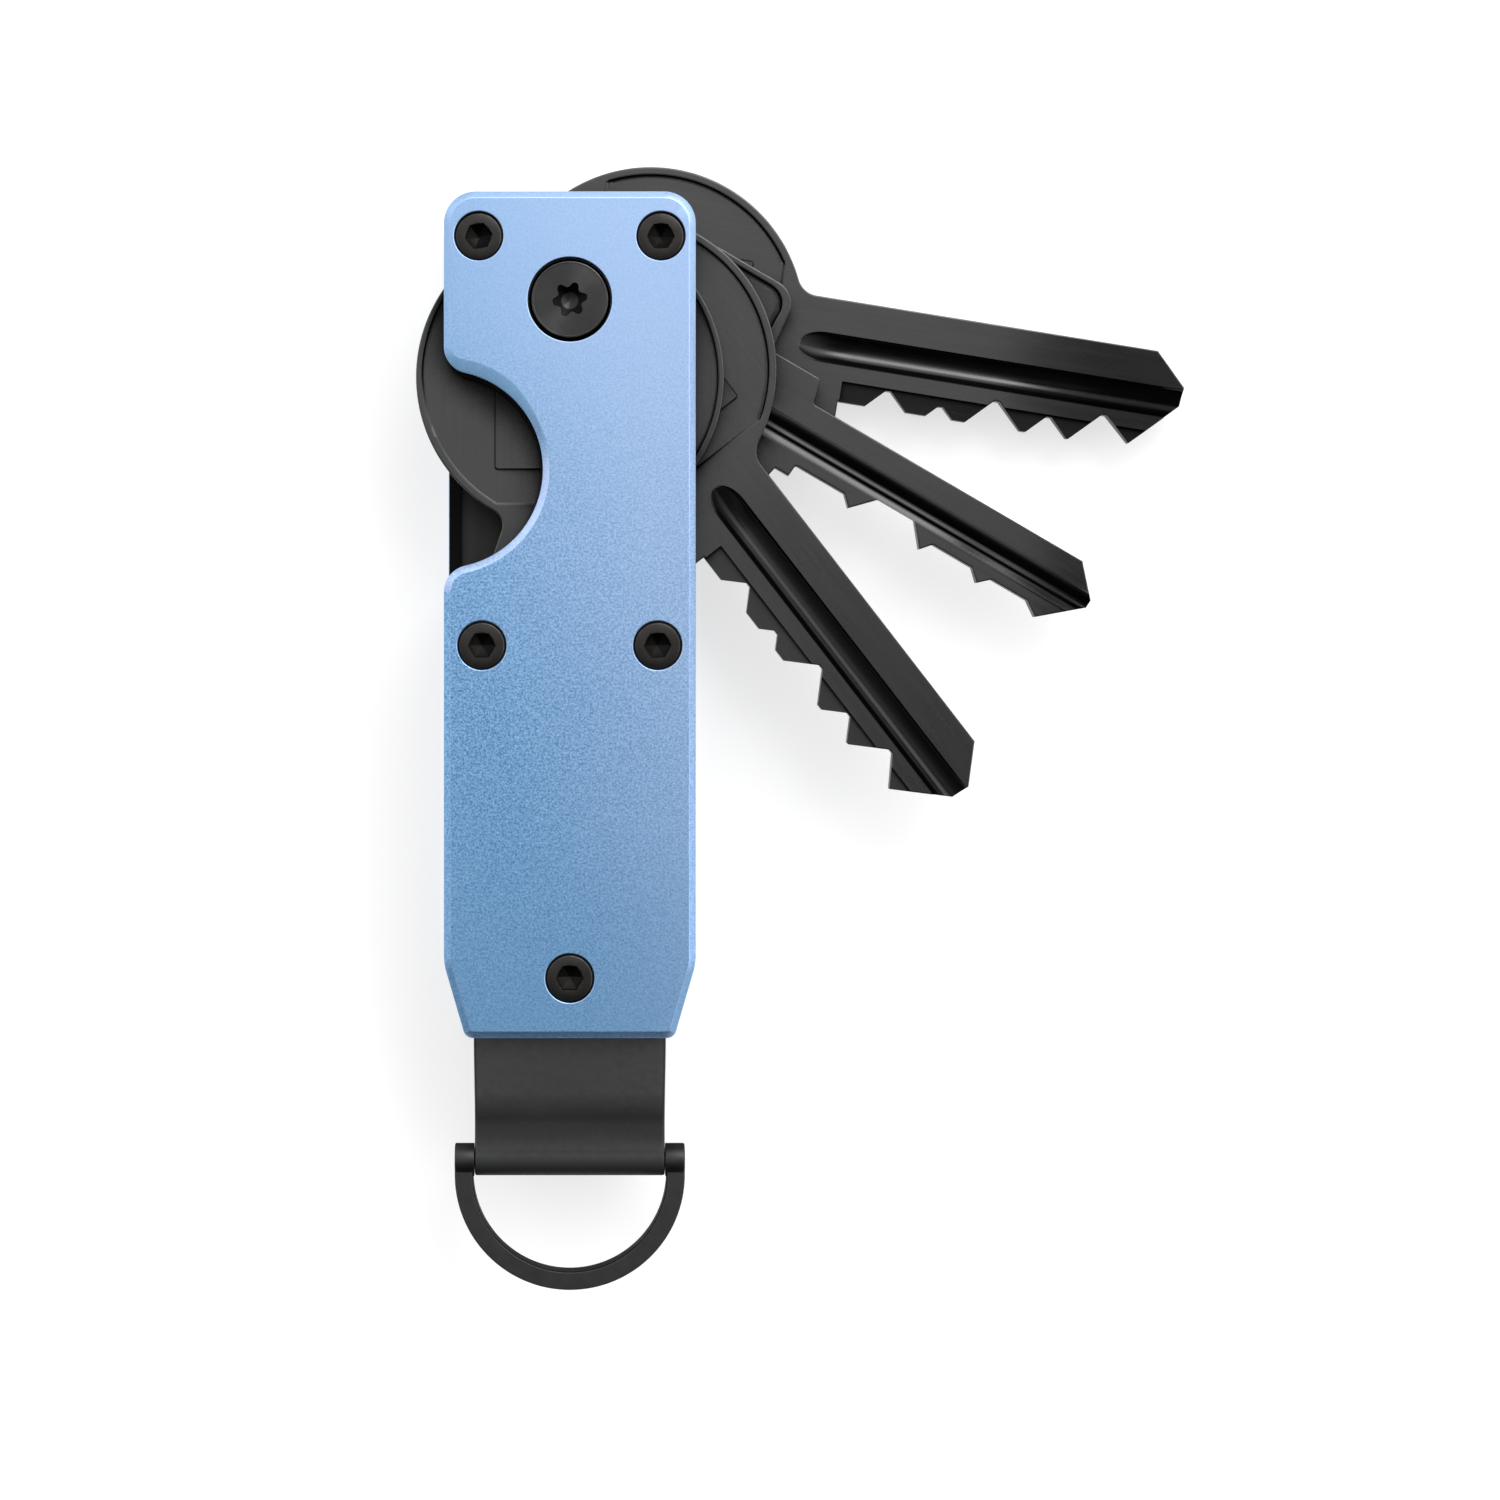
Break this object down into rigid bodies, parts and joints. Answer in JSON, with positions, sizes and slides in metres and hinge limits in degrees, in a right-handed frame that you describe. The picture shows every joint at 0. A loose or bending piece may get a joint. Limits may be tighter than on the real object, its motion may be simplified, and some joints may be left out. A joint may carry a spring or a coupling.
{
  "type": "key holder",
  "caption": "Slim pocket key holder with aluminium covers, keys that swing out of its open side on a pivot bolt, and a D-ring on a strap.",
  "frame": {"origin": "centre of the back cover's flat outer face, which is what the key holder lies on", "axes": "+X towards the open side where the keys swing out, +Y towards the pivot end, +Z out of the front cover"},
  "size_m": [0.0745, 0.1086, 0.0154],
  "materials": {
    "anodised_blue": "bead-blasted, anodised light blue",
    "liner_steel": "brushed, blackened",
    "spine_polymer": "matte black",
    "screw_black": "black oxide",
    "pivot_black": "turned face, black oxide",
    "washer_bronze": "plain, thin sheet",
    "key_gunmetal": "dark satin coating",
    "block_polymer": "matte black",
    "strap_leather": "smooth dark grey",
    "ring_black": "dark satin coating"
  },
  "bodies": {
    "case": {"back_cover": "anodised_blue", "front_cover": "anodised_blue", "back_liner": "liner_steel", "front_liner": "liner_steel", "spine": "spine_polymer", "front_screw_top_left": "screw_black", "front_screw_top_right": "screw_black", "front_screw_middle_left": "screw_black", "front_screw_middle_right": "screw_black", "front_screw_end": "screw_black", "back_screw_top_left": "screw_black", "back_screw_top_right": "screw_black", "back_screw_middle_left": "screw_black", "back_screw_middle_right": "screw_black", "back_screw_end": "screw_black", "pivot_barrel": "pivot_black", "pivot_screw": "pivot_black", "washer_1": "washer_bronze", "washer_2": "washer_bronze", "washer_3": "washer_bronze", "washer_4": "washer_bronze", "washer_5": "washer_bronze", "end_post": "screw_black", "end_block": "block_polymer", "strap": "strap_leather"},
    "front_key": {"key_front": "key_gunmetal"},
    "second_key": {"key_second": "key_gunmetal"},
    "third_key": {"key_third": "key_gunmetal"},
    "back_key": {"key_back": "key_gunmetal"},
    "d_ring": {"ring_bow": "ring_black", "ring_bar": "ring_black"}
  },
  "joints": [
    {"name": "front_key_swing", "type": "hinge", "parent": "case", "child": "front_key", "pos_m": [0, 0.02976, 0.0114], "axis": [0, 0, 1], "range_deg": [-2, 320]},
    {"name": "second_key_swing", "type": "hinge", "parent": "case", "child": "second_key", "pos_m": [0, 0.02976, 0.00895], "axis": [0, 0, 1], "range_deg": [-39.7, 282.3]},
    {"name": "third_key_swing", "type": "hinge", "parent": "case", "child": "third_key", "pos_m": [0, 0.02976, 0.0065], "axis": [0, 0, 1], "range_deg": [-61.7, 260.3]},
    {"name": "back_key_swing", "type": "hinge", "parent": "case", "child": "back_key", "pos_m": [0, 0.02976, 0.00405], "axis": [0, 0, 1], "range_deg": [-82.8, 239.2]},
    {"name": "ring_swing", "type": "hinge", "parent": "case", "child": "d_ring", "pos_m": [0, -0.05262, 0.00773], "axis": [1, 0, 0], "range_deg": [-145, 145]}
  ]
}
